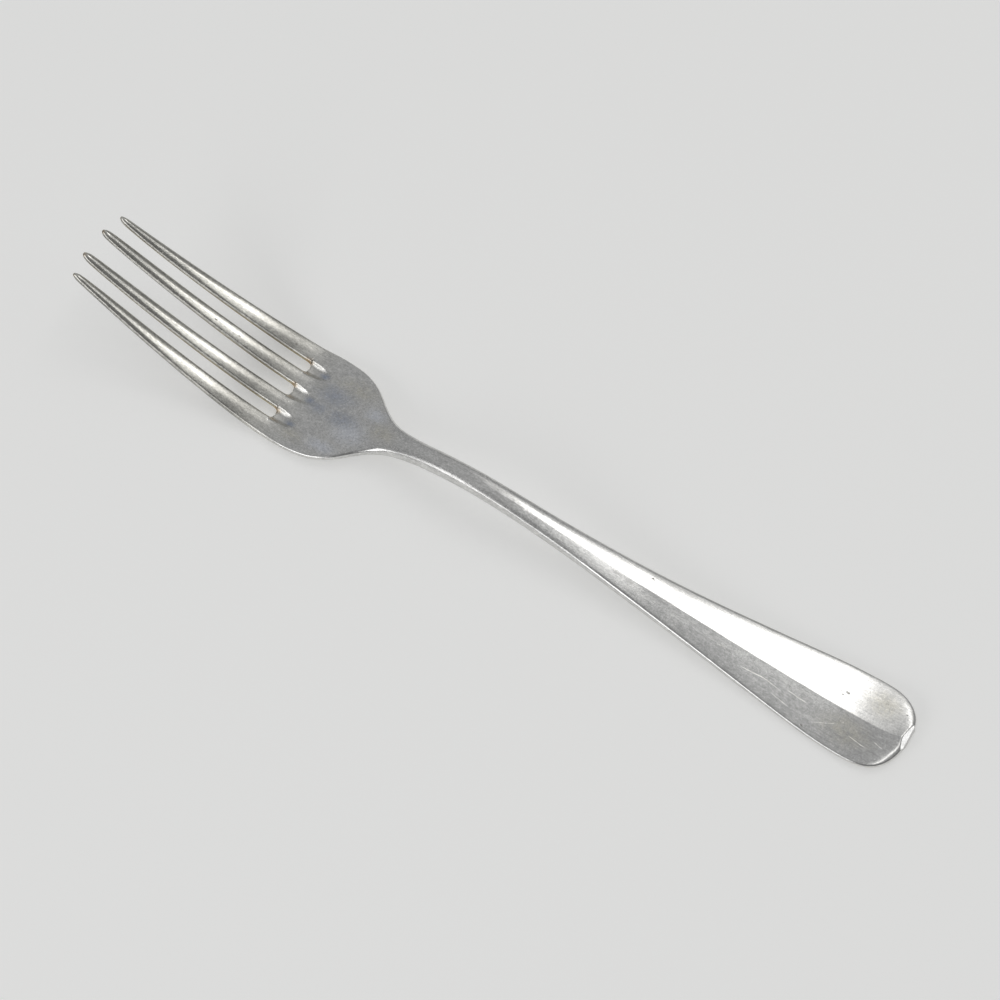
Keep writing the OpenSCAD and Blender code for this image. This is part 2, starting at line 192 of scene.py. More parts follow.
class Graph:
    """A node tree that is written as Python expressions."""

    def __init__(self, tree):
        self.tree = tree

    def node(self, kind, settings, values, output=0):
        """Adds a node: its settings first, then the values or wires of its sockets."""
        made = self.tree.nodes.new(kind)
        for name, value in settings.items():
            setattr(made, name, value)
        for key, value in values.items():
            if isinstance(value, Wire):
                self.tree.links.new(value.socket, made.inputs[key])
            else:
                made.inputs[key].default_value = value
        return Wire(self, made.outputs[output])

    def noise(self, place, waves, stretch=(1, 1, 1), detail=2.0, roughness=0.5, seed=0.0):
        """Noise from 0 to 1, with about that many waves to each unit of the place."""
        return self.node(
            "ShaderNodeTexNoise",
            {"noise_dimensions": "4D"},
            {
                "Vector": place * stretch,
                "W": seed,
                "Scale": waves,
                "Detail": detail,
                "Roughness": roughness,
            },
        )

    def ramp(self, value, low, high, to_low=0.0, to_high=1.0):
        """A smooth step: to_low up to low, to_high from high on."""
        return self.node(
            "ShaderNodeMapRange",
            {"interpolation_type": "SMOOTHSTEP"},
            {"Value": value, 1: low, 2: high, 3: to_low, 4: to_high},
        )

    def turned(self, place, degrees):
        """The same place in axes turned about Z."""
        return self.node(
            "ShaderNodeMapping", {}, {"Vector": place, "Rotation": (0, 0, math.radians(degrees))}
        )

    def oval(self, place, centre, halves, degrees=0.0, soft=0.6):
        """1 inside an upright oval column and 0 outside, with a rim that is soft inwards."""
        local = self.node(
            "ShaderNodeMapping",
            {"vector_type": "TEXTURE"},
            {
                "Vector": place,
                "Location": (*centre, 0.0),
                "Rotation": (0, 0, math.radians(degrees)),
                "Scale": (*halves, ANY_HEIGHT),
            },
        )
        far = self.node("ShaderNodeVectorMath", {"operation": "LENGTH"}, {0: local}, "Value")
        return self.ramp(far, 1 - soft, 1.0, 1.0, 0.0)

    def line(self, place, start, end, half_width):
        """1 along a thin straight line, fading toward its two ends."""
        run, rise = end[0] - start[0], end[1] - start[1]
        middle = ((start[0] + end[0]) / 2, (start[1] + end[1]) / 2)
        halves = (math.hypot(run, rise) / 2, half_width)
        return self.oval(place, middle, halves, math.degrees(math.atan2(rise, run)), soft=0.9)

    def greater(self, one, other):
        return self.node("ShaderNodeMath", {"operation": "MAXIMUM"}, {0: one, 1: other})

    def any_of(self, masks):
        """The strongest of several masks."""
        return reduce(self.greater, masks)

    def clamped(self, value):
        return self.node("ShaderNodeClamp", {}, {"Value": value})

    def mix(self, factor, start, end):
        """A colour from start to end."""
        return self.node(
            "ShaderNodeMix",
            {"data_type": "RGBA", "clamp_factor": True},
            {0: factor, 6: start, 7: end},
            2,
        )

    def attribute(self, name):
        return self.node("ShaderNodeAttribute", {"attribute_name": name}, {}, "Fac")


def opaque(colour):
    return (*colour, 1.0)


def length(name, description, default_mm, low_mm=0.0, high_mm=10.0):
    """A length property, given in millimetres."""
    return bpy.props.FloatProperty(
        name=name,
        description=description,
        default=default_mm * MM,
        min=low_mm * MM,
        max=high_mm * MM,
        precision=5,
        unit="LENGTH",
    )


def colour(name, description, default):
    return bpy.props.FloatVectorProperty(
        name=name,
        description=description,
        default=default,
        size=3,
        min=0.0,
        max=1.0,
        subtype="COLOR",
    )


def share(name, description, default, high=1.0):
    return bpy.props.FloatProperty(
        name=name, description=description, default=default, min=0.0, max=high, subtype="FACTOR"
    )


def angle(name, description, default_degrees):
    return bpy.props.FloatProperty(
        name=name,
        description=description,
        default=math.radians(default_degrees),
        subtype="ANGLE",
        unit="ROTATION",
    )


class ForkShape(bpy.types.PropertyGroup):
    """How the forged blank is smoothed and finished by hand."""

    smooth_levels: bpy.props.IntProperty(
        name="Smoothing",
        description="How many times each face is divided into four",
        default=2,
        min=0,
        max=2,
    )
    ridge_reach: length("Ridge", "How far the ridge reaches from the handle's end", 110.0, 10.0, 200.0)
    ridge_sharp: length("Sharp ridge", "How far from the handle's end it is sharp", 54.0, 10.0, 200.0)
    ridge_round: length("Rounded ridge", "How far down its sides it is rounded off after that", 3.9)
    crest_from: angle("Crest from", "Smallest angle between two faces that makes a crest", 3.0)
    crest_full: angle("Crest at", "Angle between two faces that makes a sharp crest", 11.0)
    roof_share: share("Roof", "How far a tine's shoulders are filed down, for its width", 0.11)
    roof_from: length("Roof from", "From where the shoulders are filed", 66.0, 0.0, 100.0)
    roof_full: length("Roof at", "From where the shoulders are filed in full", 90.0, 0.0, 100.0)
    slot_gap: length("Slots", "Distance between the middle lines of two slots", 6.83, 4.0, 10.0)
    slot_end: length("Slot end", "Where the slots end, along the fork", 51.6, 30.0, 70.0)
    groove_depth: length("Groove", "How much deeper a tool pressed the groove behind each slot", 0.5)
    groove_length: length("Groove length", "How far back those grooves reach", 9.0)
    groove_half: length("Groove half width", "From the middle of a groove to its rim", 2.5)
    nose_height: length("Nose height", "Thickness that filing leaves at the handle's very end", 2.56)
    nose_slope: share("Nose slope", "How steeply the filed face rises from there", 0.66, 2.0)
    uneven_depth: length("Unevenness", "How far the hand finish strays from true", 0.022)
    uneven_length: length("Wave", "Length of the waves of the unevenness", 6.0, 1.0, 40.0)
    cloth_reach: length("Cloth reach", "Narrowest gap that a polishing cloth gets into", 3.6)
    seed: bpy.props.IntProperty(name="Seed", description="Seed of the unevenness", default=7)


class SilverLook(bpy.types.PropertyGroup):
    """Colours and roughness of the worn silver."""

    bare: colour("Bare", "Bare silver in fresh scratches", (0.95, 0.93, 0.86))
    rubbed: colour("Rubbed", "Silver that hands keep bright", (0.76, 0.75, 0.73))
    dull: colour("Dull", "Silver under a thin grey film", (0.62, 0.62, 0.61))
    warm: colour("Warm", "Silver under a thin yellowish film", (0.66, 0.64, 0.57))
    # Painted dark reflection behind the slots, and darker bluish patches on the palm
    blue: colour("Blue", "Silver under a thin bluish film", (0.32, 0.37, 0.48))
    pale: colour("Pale", "Silver under a trace of bluish film", (0.80, 0.82, 0.87))
    dirt: colour("Dirt", "Dark dirt in pits and smudges", (0.16, 0.14, 0.11))
    tarnish: colour("Tarnish", "Golden tarnish in the slots", (0.58, 0.44, 0.15))
    stain: colour("Stain", "Brown stain in the corners of the slots", (0.45, 0.26, 0.06))
    roughness: share("Roughness", "Roughness of the silver", 0.195)
    flank_roughness: share("Flank roughness", "How much rougher the tines' sides are", 0.16)
    edge_roughness: share("Edge roughness", "Roughness of the rubbed edges", 0.18)
    tarnish_roughness: share("Tarnish roughness", "Roughness of the tarnish", 0.55)
    grain_contrast: share("Grain contrast", "How much the grain darkens and brightens", 0.9, 3.0)
    grain_depth: length("Grain", "Depth of the fine grain", 0.003, 0.0, 1.0)
    streak_depth: length("Streaks", "Depth of the lengthwise streaks", 0.006, 0.0, 1.0)
    scuff_contrast: share("Scuffs", "How much short scuffs darken and brighten", 1.0, 3.0)
    streak_contrast: share("Streak contrast", "How much the streaks darken and brighten", 1.1, 3.0)
    # Painted shade: the tines' tips painted darker, except along their crests
    tip_painted_shade: share("Tip dullness", "How much darker the tines' tips are", 0.2)
    # Painted shade: the tines' roots painted darker, which dims the highlight there
    root_painted_shade: share("Root dullness", "How much darker the tines' roots are", 0.27)
    # Painted shade: the tines' sides painted darker
    flank_painted_shade: share("Flank dullness", "How much darker the tines' sides are", 0.25)
    hairline_depth: length("Hairlines", "Depth of the hairlines", 0.0006, 0.0, 1.0)
    scratch_depth: length("Scratches", "Depth of the single scratches", 0.02, 0.0, 1.0)
    pit_depth: length("Pits", "Depth of the small pits", 0.05, 0.0, 1.0)


class StudioSetup(bpy.types.PropertyGroup):
    """The floor, the lights and the camera."""

    floor_size: length("Floor", "Distance across the round floor", 16000.0, 500.0, 20000.0)
    floor_colour: colour("Floor colour", "Colour of the floor", (0.8, 0.8, 0.79))
    floor_glow: share("Floor glow", "Light that the floor itself adds to what shows of it", 0.38)
    room_colour: colour("Room colour", "Colour of the room's light", (0.98, 0.99, 1.0))
    room_above: share("Room above", "Strength of the room's light where it is brightest", 0.42, 2.0)
    room_around: share("Room around", "Strength of the room's light where it is dimmest", 0.18, 2.0)
    camera_turn: angle("Camera turn", "Direction of the camera around the fork", 121.326)
    camera_height: angle("Camera height", "Angle of the camera above the floor", 66.112)
    camera_roll: angle("Camera roll", "How far the camera is rolled", 0.721)
    camera_distance: length("Camera distance", "From the camera to its aim", 394.21, 50.0, 3000.0)
    camera_aim_x: length("Aim X", "Where the camera aims, along the fork", -1.75, -200.0, 200.0)
    camera_aim_y: length("Aim Y", "Where the camera aims, across the fork", -2.613, -200.0, 200.0)
    camera_lens: bpy.props.FloatProperty(
        name="Lens",
        description="Focal length on a 36 mm sensor",
        default=64.8,
        min=10.0,
        subtype="DISTANCE_CAMERA",
    )


def forged_blank(shape):
    """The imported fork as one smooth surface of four-sided faces, with its crests marked."""
    mesh = bpy.data.meshes.new("blank")
    work = bmesh.new()
    work.from_mesh(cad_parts[NODE].data)
    bmesh.ops.remove_doubles(work, verts=work.verts, dist=SAME_PLACE)
    bmesh.ops.join_triangles(
        work,
        faces=work.faces,
        angle_face_threshold=JOIN_BEND,
        angle_shape_threshold=JOIN_CORNERS,
        topology_influence=JOIN_LIKE_NEIGHBOURS,
    )
    mark_crests(work, shape)
    for face in work.faces:
        face.smooth = True
    work.to_mesh(mesh)
    work.free()
    blank = bpy.data.objects.new("blank", mesh)
    bpy.context.scene.collection.objects.link(blank)
    return blank


def mark_crests(work, shape):
    """Creases the edges along the handle's ridge, whose two faces lean to opposite sides."""
    crease = work.edges.layers.float.new("crease_edge")
    ridge_from = FORK_LOW.x + shape.ridge_reach
    sharp_from = FORK_LOW.x + shape.ridge_sharp
    for edge in work.edges:
        if len(edge.link_faces) != 2:
            continue
        start, end = (vert.co for vert in edge.verts)
        one, two = (face.normal for face in edge.link_faces)
        on_handle = max(start.x, end.x) < ridge_from
        lengthwise = abs((end - start).normalized().y) < MOST_ACROSS
        if on_handle and lengthwise and min(one.z, two.z) > FACES_UP and one.y * two.y < 0:
            bend = (one.angle(two) - shape.crest_from) / (shape.crest_full - shape.crest_from)
            sharp = 1 - ((start.x + end.x) / 2 - sharp_from) / RIDGE_FADE
            edge[crease] = max(0.0, min(1.0, bend, sharp))


def ray(graph, target, start, heading, reach):
    """Whether a ray meets the target, and how far away."""
    values = {
        "Target Geometry": target,
        "Source Position": start,
        "Ray Direction": heading,
        "Ray Length": reach,
    }
    met = graph.node("GeometryNodeRaycast", {}, values, "Is Hit")
    return met, Wire(graph, met.socket.node.outputs["Hit Distance"])


def across_tines(graph, blank, position, normal):
    """How far out from its middle line a place on a tine is, from 0 to 1, and the tine's width."""
    inside = position - normal * INSIDE
    left_met, left = ray(graph, blank, inside, (0, 1, 0), WIDEST_TINE)
    right_met, right = ray(graph, blank, inside, (0, -1, 0), WIDEST_TINE)
    width = left + right
    on_tine = left_met * right_met
    return abs(left - right) / width * on_tine, width


def filed_shoulders(graph, position, out, width, wires):
    """How far filing takes a tine's top down: more toward its two sides, like a low roof."""
    filed = graph.ramp(position.part("X"), wires["Roof from"], wires["Roof at"])
    return out**ROOF_POWER * width * wires["Roof"] * filed


def pressed_grooves(graph, position, wires):
    """Where a tool pressed the grooves that run back from the slots, from 0 to 1."""
    back = wires["Slot end"] - position.part("X")
    lengthwise = graph.ramp(back / wires["Groove length"], GROOVE_FULL, 1.0, 1.0, 0.0)
    lengthwise = lengthwise * graph.ramp(back, -GROOVE_LEAD, 0.0)
    rim = wires["Groove half width"] - back * GROOVE_TAPER
    middles = [wires["Slots"] * side for side in (-1.0, 0.0, 1.0)]
    across = [
        graph.ramp(abs(position.part("Y") - middle) / rim, GROOVE_FLOOR, 1.0, 1.0, 0.0)
        for middle in middles
    ]
    return graph.any_of(across) * lengthwise


def rounded_ridge(graph, position, wires):
    """How far the ridge is rounded off between its sharp part and the neck."""
    along = position.part("X")
    beyond = along - (wires["Sharp ridge"] + FORK_LOW.x)
    steep = graph.ramp(beyond, 0.0, RIDGE_FADE) * graph.ramp(
        along, RIDGE_FULL, RIDGE_END, RIDGE_SIDES, 0.0
    )
    off = position.part("Y") + (along - STRAY_FROM) * STRAY
    off = (off * off + RIDGE_BLUNT * RIDGE_BLUNT) ** 0.5
    half = wires["Rounded ridge"]
    within = graph.greater(half - off, 0.0)
    return within * within / (half * 2) * steep


def filed_nose(graph, position, wires):
    """How far a slanting file cut takes down the end of the handle's ridge."""
    cut_height = wires["Nose height"] + (position.part("X") - FORK_LOW.x) * wires["Nose slope"]
    return graph.greater(position.part("Z") - cut_height, 0.0)


def blurred(graph, data_type, value):
    """The value, evened out over the surface."""
    return graph.node(
        "GeometryNodeBlurAttribute",
        {"data_type": data_type},
        {"Value": value, "Iterations": BLUR_STEPS},
    )


def hand_finish_tree(silver):
    """Geometry nodes: filed tines, pressed grooves, an uneven finish, and where it is rubbed."""
    tree = bpy.data.node_groups.new("Hand finish", "GeometryNodeTree")
    new_socket = tree.interface.new_socket
    new_socket("Geometry", in_out="INPUT", socket_type="NodeSocketGeometry")
    for name in FINISH_INPUTS:
        new_socket(name, in_out="INPUT", socket_type="NodeSocketFloat")
    new_socket("Geometry", in_out="OUTPUT", socket_type="NodeSocketGeometry")
    graph = Graph(tree)
    inputs = tree.nodes.new("NodeGroupInput")
    wires = {socket.name: Wire(graph, socket) for socket in inputs.outputs if socket.name}
    blank = wires["Geometry"]
    position = graph.node("GeometryNodeInputPosition", {}, {})
    normal = graph.node("GeometryNodeInputNormal", {}, {})

    wave = graph.noise(position, 1 / wires["Wave"], detail=1.0, seed=wires["Seed"])
    off_floor = graph.ramp(position.part("Z"), *OFF_FLOOR)
    uneven = normal * ((wave - 0.5) * 2 * wires["Unevenness"] * off_floor)
    out, width = across_tines(graph, blank, position, normal)
    pressed = pressed_grooves(graph, position, wires)
    lowered = filed_shoulders(graph, position, out, width, wires) + pressed * wires["Groove"]
    lowered = lowered + rounded_ridge(graph, position, wires)
    lowered = lowered * graph.ramp(normal.part("Z"), *TOOL_REACH) + filed_nose(graph, position, wires)
    downward = graph.node("ShaderNodeCombineXYZ", {}, {"Z": lowered * -1})
    moved = graph.node(
        "GeometryNodeSetPosition", {}, {"Geometry": blank, "Offset": uneven + downward}
    )

    met, _ = ray(graph, moved, position + normal * JUST_OUTSIDE, normal, wires["Cloth reach"])
    hidden = blurred(graph, "FLOAT", met)
    bulge = position - blurred(graph, "FLOAT_VECTOR", position)
    proud = graph.node(
        "ShaderNodeVectorMath", {"operation": "DOT_PRODUCT"}, {0: bulge, 1: normal}, "Value"
    )
    rubbed = graph.ramp(proud, *PROUD)

    geometry = moved
    stored = {
        HIDDEN_FROM_CLOTH: hidden,
        RUBBED_EDGE: rubbed,
        OUT_ON_TINE: out,
        IN_GROOVE: pressed,
    }
    for name, value in stored.items():
        geometry = graph.node(
            "GeometryNodeStoreNamedAttribute",
            {"data_type": "FLOAT", "domain": "POINT"},
            {"Geometry": geometry, "Name": name, "Value": value},
        )
    geometry = graph.node("GeometryNodeRealizeInstances", {}, {"Geometry": geometry})
    geometry = graph.node("GeometryNodeSetMaterial", {}, {"Geometry": geometry, "Material": silver})
    output = tree.nodes.new("NodeGroupOutput")
    tree.links.new(geometry.socket, output.inputs["Geometry"])
    return tree


def finished_by_hand(blank, shape, silver):
    """The blank with its smoothing and the hand finish worked into a plain mesh."""
    smoothing = blank.modifiers.new("Smoothing", "SUBSURF")
    smoothing.levels = shape.smooth_levels
    smoothing.render_levels = shape.smooth_levels
    tree = hand_finish_tree(silver)
    finish = blank.modifiers.new("Hand finish", "NODES")
    finish.node_group = tree
    for item in tree.interface.items_tree:
        if item.in_out == "INPUT" and item.name in FINISH_INPUTS:
            finish[item.identifier] = float(getattr(shape, FINISH_INPUTS[item.name]))
    bpy.context.view_layer.update()
    evaluated = blank.evaluated_get(bpy.context.evaluated_depsgraph_get())
    mesh = bpy.data.meshes.new_from_object(evaluated)
    mesh.name = "finished_fork"
    bpy.data.objects.remove(blank)
    fork = bpy.data.objects.new("finished_fork", mesh)
    bpy.context.scene.collection.objects.link(fork)
    return fork


# Marks of use, and painted dark reflections behind the slots, each in millimetres in the fork's frame:
# the middle of an oval and its halves
# Painted dark bluish reflection where each groove behind a slot ends
PAINTED_REFLECTION_SPOTS = (
    ((47.3, -6.9), (2.1, 1.3)),
    ((46.6, -0.1), (2.4, 1.3)),
    ((47.4, 7.0), (2.1, 1.2)),
)
BLUE_PATCHES = (
    ((44.2, 0.6), (4.4, 2.4)),
    ((42.6, -3.6), (7.5, 3.8)),
    ((38.0, 0.6), (6.5, 3.2)),
)
WARM_PATCHES = (
    ((45.5, 9.2), (5.0, 2.6)),
    ((46.2, -4.2), (3.0, 1.6)),
    ((60.0, -5.6), (9.0, 2.0)),
    ((-94.5, -4.6), (5.5, 4.2)),
    ((-90.0, 4.5), (9.0, 4.5)),
    ((38.5, -7.6), (8.5, 3.4)),
    ((27.0, 0.0), (5.0, 3.4)),
)
PALE_PATCHES = (
    ((34.0, 3.0), (6.5, 4.4)),
    ((38.0, 8.6), (6.0, 2.2)),
    ((31.0, -3.4), (4.0, 2.6)),
)
SMUDGES = (
    ((-33.4, 0.9), (2.4, 0.5)),
    ((-36.2, 1.1), (2.0, 0.6)),
    ((-40.3, -2.3), (0.8, 0.3)),
    ((-45.5, 0.6), (2.6, 0.5)),
)
PITS = (
    ((-86.8, -3.0), (0.42, 0.26)),
    ((-86.0, -2.1), (0.3, 0.16)),
    ((-85.4, -2.6), (0.16, 0.12)),
    ((-40.1, -2.4), (0.3, 0.18)),
    ((-81.9, 8.2), (0.4, 0.25)),
    ((73.6, -3.2), (0.34, 0.2)),
    ((67.6, -3.3), (0.22, 0.14)),
    ((90.6, -8.1), (0.3, 0.2)),
    ((56.9, -9.6), (0.3, 0.2)),
    ((-99.4, -5.0), (0.22, 0.16)),
)
STAINS = (
    ((52.4, -8.2), (1.6, 0.9)),
    ((52.0, -1.5), (1.2, 0.8)),
    ((51.7, 5.8), (1.5, 0.9)),
    ((102.3, -8.3), (1.5, 0.8)),
    ((102.6, -3.2), (1.3, 0.8)),
    ((102.5, 3.6), (1.3, 0.8)),
    ((101.6, 8.8), (1.1, 0.7)),
)
# Single scratches, each from one end to the other
SCRATCHES = (
    ((-58.2, 2.6), (-60.6, 2.1)),
    ((-59.2, 1.9), (-60.9, 2.7)),
    ((-63.6, 4.1), (-72.6, 3.5)),
    ((-68.2, 3.4), (-75.0, 4.1)),
    ((-72.5, 5.4), (-78.2, 6.3)),
    ((-75.2, 3.2), (-81.4, 3.6)),
    ((-83.0, 6.6), (-88.4, 4.0)),
    ((-95.6, 3.6), (-98.9, 4.4)),
    ((-90.2, 5.0), (-96.4, 5.9)),
    ((-93.0, -7.0), (-97.0, -3.5)),
    ((24.0, -1.2), (35.5, -2.6)),
    ((52.5, 2.0), (44.6, 1.2)),
    ((53.5, 3.0), (46.0, 2.7)),
)
SCRATCH_HALF_WIDTH = 0.08
# Hairlines left by polishing: direction in degrees, waves to a millimetre, and from what noise on
# they show. Then how long they are drawn out, and how soft their edges are
HAIRLINES = ((4.0, 2.8, 0.59), (-38.0, 2.3, 0.61), (31.0, 2.5, 0.62), (-78.0, 2.1, 0.64))
HAIRLINE_STRETCH = (0.05, 1, 1)
HAIRLINE_EDGE = 0.1

# How marks stray from their drawn shape: waves to a millimetre, detail, and how far, in millimetres
DRIFT_WAVES = 1.1
DRIFT_DETAIL = 3.0
MIDDLE_GREY = (0.5, 0.5, 0.5)
RAGGED = 0.8
WANDERING = 2.2
UNSTEADY = 0.12
# Each kind of oval mark: its ovals, how far they stray, how soft their rims are, its strength
OVAL_MARKS = {
    "pits": (PITS, RAGGED, 0.6, 1.0),
    "smudges": (SMUDGES, RAGGED, 0.9, 1.0),
    "stains": (STAINS, RAGGED, 0.8, 1.0),
    "painted_reflection_spots": (PAINTED_REFLECTION_SPOTS, RAGGED, 1.0, 0.8),
    "blue_patches": (BLUE_PATCHES, WANDERING, 1.0, 0.52),
    "warm": (WARM_PATCHES, WANDERING, 0.9, 1.0),
    "pale": (PALE_PATCHES, WANDERING, 1.0, 1.0),
}
# The skin's noises, with their waves to a millimetre
NOISES = {
    "grain": {"waves": 3.4, "detail": 3.0, "roughness": 0.8, "seed": 1.0},
    "mottle": {"waves": 0.8, "detail": 4.0, "roughness": 0.6, "seed": 2.0},
    "cloud": {"waves": 0.16, "detail": 3.0, "roughness": 0.55, "seed": 3.0},
    "streak": {"waves": 3.0, "stretch": (0.06, 1, 1), "detail": 4.0, "roughness": 0.6, "seed": 4.0},
    "scuff": {"waves": 5.0, "stretch": (0.22, 1, 1), "detail": 2.0, "roughness": 0.6, "seed": 5.0},
}

# Where zones along the fork start or end, and are full or gone, in millimetres from its middle
TINES_START = (42.0, 58.0)
PALM_START = (20.0, 32.0)
NECK_START = (-50.0, -15.0)
NECK_END = (18.0, 34.0)
ROOTS_START = (53.0, 60.0)
ROOTS_END = (63.0, 70.0)
FLANKS_START = (50.0, 62.0)
CRESTS_START = (62.0, 80.0)
TIPS_START = (62.0, 92.0)
# Where a tine's side starts and is full, and where its crest is full and ends, from middle to rim
SIDE_START = (0.15, 0.8)
CREST_END = (0.05, 0.3)
# How much of a tip's painted shade its crest is spared, which leaves a lighter line along the crest
CREST_SPARED = 0.8

# How strongly each of these shows, everywhere and more or less in some zones
SCUFFED = {"everywhere": 0.3, "neck": 0.7, "flank": 0.8, "palm": 0.3}
STREAKY = {"everywhere": 0.5, "tines": 0.5, "palm": -0.3}
GRITTY = {"everywhere": 1.0, "palm": 0.5, "flank": 1.0}
SHINY_HAIRLINES = {"everywhere": 0.3, "palm": 0.35}
# How the mottle breaks up each film: from and to which mottle, and the least and most film
BROKEN_WARM = (0.3, 0.6, 0.3, 1.0)
# Breaks up the painted dark reflection behind the slots too
BROKEN_BLUE = (0.2, 0.6, 0.4, 1.0)
BROKEN_TARNISH = (0.4, 0.8, 0.5, 1.0)
BROKEN_STAIN = (0.25, 0.55, 0.6, 1.0)
BROKEN_SMUDGE = (0.35, 0.6)
# Shares of the cloud and the mottle in the grey film, and how much of their sum is left out
FILM_CLOUD = 0.9
FILM_MOTTLE = 0.7
FILM_FLOOR = 0.35
# Strengths of films and marks in the colour
PALM_FILM = 0.3
TINE_FILM = 0.6
PATCH_FILM = 0.8
RUBBED_SHINE = 0.6
SMUDGE_DIRT = 0.1
SCRATCH_SHINE = 0.5
PIT_DIRT = 0.55
STREAKED_TARNISH = 0.5
OPEN_STAIN = 0.45
# The mottle's share in the grain, and the middle of their sum
GRAIN_MOTTLE = 0.3
GRAIN_MIDDLE = 0.65
# How much mottle, grain, grooves and smudges roughen the silver
MOTTLE_ROUGH = 0.06
GRAIN_ROUGH = 0.15
GROOVE_ROUGH = 0.22
SMUDGE_ROUGH = 0.5


def marks_and_painted_reflections(graph, place):
    """A mask for each kind of mark, and for the painted dark reflections behind the slots, by name."""
    drift = graph.node(
        "ShaderNodeTexNoise",
        {},
        {"Vector": place, "Scale": DRIFT_WAVES, "Detail": DRIFT_DETAIL},
        "Color",
    )
    drift = drift - MIDDLE_GREY
    marks = {}
    for name, (ovals, stray, soft, strength) in OVAL_MARKS.items():
        strayed = place + drift * stray
        marks[name] = graph.any_of([graph.oval(strayed, *oval, soft=soft) for oval in ovals]) * strength
    # Painted dark reflection behind the slots, with the darker bluish palm patches
    marks["blue"] = graph.greater(marks["painted_reflection_spots"], marks["blue_patches"])
    unsteady = place + drift * UNSTEADY
    marks["scratches"] = graph.any_of(
        [graph.line(unsteady, start, end, SCRATCH_HALF_WIDTH) for start, end in SCRATCHES]
    )
    hairlines = []
    for turn, waves, level in HAIRLINES:
        lines = graph.noise(graph.turned(place, turn), waves, HAIRLINE_STRETCH, seed=turn)
        hairlines.append(graph.ramp(lines, level, level + HAIRLINE_EDGE))
    marks["hairlines"] = graph.any_of(hairlines)
    return marks


def zones(graph, along):
    """How far a place belongs to each zone of the fork, by the zone's name."""
    out = graph.attribute(OUT_ON_TINE)
    tines = graph.ramp(along, *TINES_START)
    crest = graph.ramp(out, *CREST_END, 1.0, 0.0) * graph.ramp(along, *CRESTS_START)
    return {
        "tines": tines,
        "palm": graph.ramp(along, *PALM_START) * (1 - tines),
        "neck": graph.ramp(along, *NECK_START) * graph.ramp(along, *NECK_END, 1.0, 0.0),
        # Where the painted shade on the roots falls
        "roots": graph.ramp(along, *ROOTS_START) * graph.ramp(along, *ROOTS_END, 1.0, 0.0),
        # Where the painted shade on the tips falls, lighter along each crest
        "tips": graph.ramp(along, *TIPS_START) * (1 - crest * CREST_SPARED),
        "flank": graph.ramp(out, *SIDE_START) * graph.ramp(along, *FLANKS_START),
        "out": out,
        "groove": graph.attribute(IN_GROOVE),
        "hidden": graph.attribute(HIDDEN_FROM_CLOTH),
        "rubbed": graph.attribute(RUBBED_EDGE),
    }


def in_zones(skin, strengths):
    """How strongly something shows, where each zone adds its own share."""
    total = strengths["everywhere"]
    for zone, strength in strengths.items():
        if zone != "everywhere":
            total = total + getattr(skin, zone) * strength
    return total


def silver_colour(graph, look, skin):
    """Films, marks and painted dark reflections over one another, then grain, scuffs, streaks, and
    painted shade on the tines' tips, roots and sides.
    """
    film = graph.clamped(skin.cloud * FILM_CLOUD + skin.mottle * FILM_MOTTLE - FILM_FLOOR)
    stained = skin.stains * (OPEN_STAIN + skin.hidden) * graph.ramp(skin.mottle, *BROKEN_STAIN)
    shiny = skin.hairlines * in_zones(skin, SHINY_HAIRLINES) + skin.rubbed * RUBBED_SHINE
    layers = (
        (skin.palm * PALM_FILM, look.dull),
        (skin.tines * TINE_FILM, look.warm),
        (skin.pale * PATCH_FILM, look.pale),
        (skin.warm * PATCH_FILM * graph.ramp(skin.mottle, *BROKEN_WARM), look.warm),
        # Painted dark bluish reflection behind the slots, and darker bluish patches on the palm
        (skin.blue * graph.ramp(skin.mottle, *BROKEN_BLUE), look.blue),
        (shiny, look.rubbed),
        (skin.smudges * SMUDGE_DIRT * graph.ramp(skin.grain, *BROKEN_SMUDGE), look.dirt),
        (skin.tarnished, look.tarnish),
        (graph.clamped(stained), look.stain),
        (skin.scratches * SCRATCH_SHINE, look.bare),
        (skin.pits * PIT_DIRT, look.dirt),
    )
    base = graph.mix(film, opaque(look.dull), opaque(look.rubbed))
    for factor, tint in layers:
        base = graph.mix(factor, base, opaque(tint))
    grit = (skin.grain + skin.mottle * GRAIN_MOTTLE - GRAIN_MIDDLE) * look.grain_contrast
    base = base * (1 + grit * in_zones(skin, GRITTY))
    base = base * (1 + (skin.scuff - 0.5) * in_zones(skin, SCUFFED) * look.scuff_contrast)
    base = base * (1 + (skin.streak - 0.5) * in_zones(skin, STREAKY) * look.streak_contrast)
    # Painted shade on the tines' tips, roots and sides
    painted_shade = skin.tips * look.tip_painted_shade + skin.roots * look.root_painted_shade
    return base * (1 - painted_shade) * (1 - skin.flank * look.flank_painted_shade)


def silver_roughness(look, skin):
    """Rougher in grooves, on the tines' sides and under tarnish, and smoother where hands rub."""
    roughness = look.roughness + (skin.mottle - 0.5) * MOTTLE_ROUGH + (skin.grain - 0.5) * GRAIN_ROUGH
    roughness = roughness + skin.groove * GROOVE_ROUGH + skin.out**2 * look.flank_roughness
    roughness = roughness + skin.rubbed * (look.edge_roughness - look.roughness)
    covered = skin.tarnished + skin.smudges * SMUDGE_ROUGH
    return roughness + covered * (look.tarnish_roughness - look.roughness)


def silver_height(look, skin):
    """How far the grain and the streaks stand out, and the marks cut in."""
    return (
        skin.grain * look.grain_depth
        + skin.streak * in_zones(skin, STREAKY) * look.streak_depth
        - skin.hairlines * look.hairline_depth
        - skin.scratches * look.scratch_depth
        - skin.pits * look.pit_depth
    )


